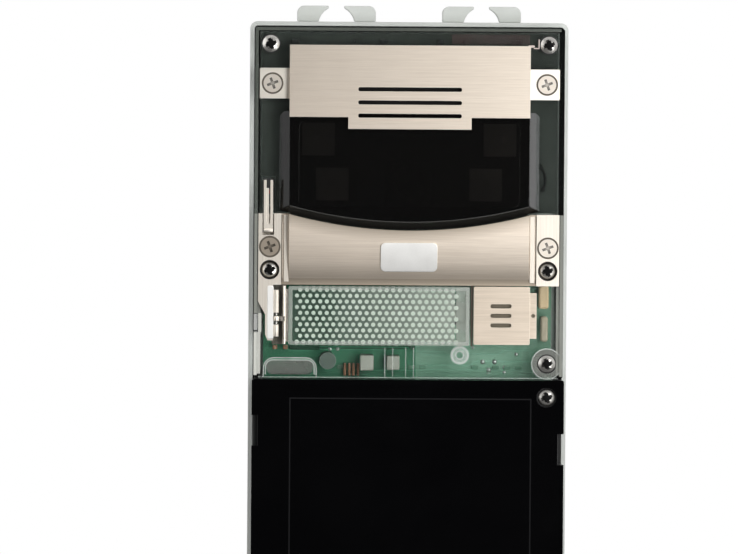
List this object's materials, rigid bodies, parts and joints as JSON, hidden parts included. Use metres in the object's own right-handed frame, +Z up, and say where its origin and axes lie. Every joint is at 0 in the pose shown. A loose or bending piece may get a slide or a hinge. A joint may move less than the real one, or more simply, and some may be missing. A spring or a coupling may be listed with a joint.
{
  "type": "door intercom station",
  "caption": "Wall-mounted door intercom station with a clear front housing, speaker cover, camera window, rocking call button and black display module.",
  "frame": {"origin": "middle of the tray's back face, on the wall", "axes": "+X to the right seen from the front, +Y into the wall, +Z up"},
  "size_m": [0.098, 0.0267, 0.2129],
  "materials": {
    "tray_plastic": "fine matt moulding",
    "clear_plastic": "polished clear moulding",
    "smoked_plastic": "polished dark tinted moulding",
    "black_plastic": "fine matt moulding",
    "black_glass": "polished, black from behind",
    "brushed_metal": "brushed across",
    "bright_metal": "satin",
    "polished_metal": "polished with soft edges",
    "screw_steel": "bright machined",
    "seal_rubber": "matt",
    "speaker_fabric": "fine weave",
    "paper_cone": "pressed fibre",
    "magnet_iron": "ground",
    "board_green": "solder mask",
    "chip_black": "moulded resin",
    "can_aluminium": "drawn can in a dark sleeve",
    "film_cream": "dipped resin",
    "relay_blue": "moulded",
    "terminal_green": "moulded",
    "lamp_white": "moulded",
    "diffuser": "dotted light guide",
    "lens_glass": "coated",
    "ribbon_amber": "laminated film",
    "plunger_red": "moulded"
  },
  "bodies": {
    "station": {"back_tray": "tray_plastic", "top_hooks": "tray_plastic", "tray_seal": "seal_rubber", "cable_grommet": "seal_rubber", "front_housing": "clear_plastic", "housing_screws": "screw_steel", "inner_carrier": "black_plastic", "speaker_cover": "brushed_metal", "cover_screws": "screw_steel", "speaker_cloth": "speaker_fabric", "speaker_gasket": "seal_rubber", "speaker_basket": "screw_steel", "speaker_surround": "seal_rubber", "speaker_cone": "paper_cone", "speaker_magnet": "magnet_iron", "speaker_yoke": "screw_steel", "speaker_lead": "seal_rubber", "camera_window": "smoked_plastic", "camera_board": "board_green", "camera_holder": "black_plastic", "lens_barrel": "black_plastic", "camera_lens": "lens_glass", "infrared_board": "board_green", "infrared_lamps": "chip_black", "front_band": "brushed_metal", "band_screws": "screw_steel", "badge": "polished_metal", "retainer_plate": "bright_metal", "hinge_bracket": "bright_metal", "hinge_pin": "screw_steel", "call_switch": "chip_black", "backlight_lamps": "lamp_white", "microphone_cover": "brushed_metal", "microphone_boot": "seal_rubber", "microphone_capsule": "can_aluminium", "main_board": "board_green", "board_screws": "screw_steel", "film_capacitors": "film_cream", "electrolytic_capacitors": "can_aluminium", "small_components": "chip_black", "main_processor": "chip_black", "door_relay": "relay_blue", "network_jack": "screw_steel", "terminal_block": "terminal_green", "terminal_screws": "screw_steel", "tamper_pin": "screw_steel", "tamper_switch": "chip_black", "display_frame": "black_plastic", "display_glass": "black_glass", "display_panel": "chip_black", "display_board": "board_green", "display_ribbon": "ribbon_amber", "display_screws": "screw_steel"},
    "call_button": {"call_button": "clear_plastic", "diffuser_plate": "diffuser", "hinge_leaf": "bright_metal"},
    "call_plunger": {"call_plunger": "lamp_white"},
    "tamper_lever": {"tamper_lever": "bright_metal"},
    "tamper_plunger": {"tamper_plunger": "plunger_red"}
  },
  "joints": [
    {"name": "call_button_rock", "type": "hinge", "parent": "station", "child": "call_button", "pos_m": [-0.0406, -0.0232, 0.0138], "axis": [0, 0, 1], "range_deg": [0, 1.5], "stiffness_Nm_per_rad": 4},
    {"name": "call_switch_press", "type": "slide", "parent": "station", "child": "call_plunger", "axis": [0, 1, 0], "range_m": [0, 0.0015]},
    {"name": "tamper_lever_flex", "type": "hinge", "parent": "station", "child": "tamper_lever", "pos_m": [-0.0432, -0.0232, 0.03975], "axis": [-1, 0, 0], "range_deg": [0, 5], "stiffness_Nm_per_rad": 0.002},
    {"name": "tamper_switch_press", "type": "slide", "parent": "station", "child": "tamper_plunger", "axis": [0, 1, 0], "range_m": [0, 0.00104]}
  ],
  "couplings": [
    {"joint": "call_switch_press", "follows": "call_button_rock", "m_per_rad": 0.0564},
    {"joint": "tamper_switch_press", "follows": "tamper_lever_flex", "m_per_rad": 0.0119}
  ]
}
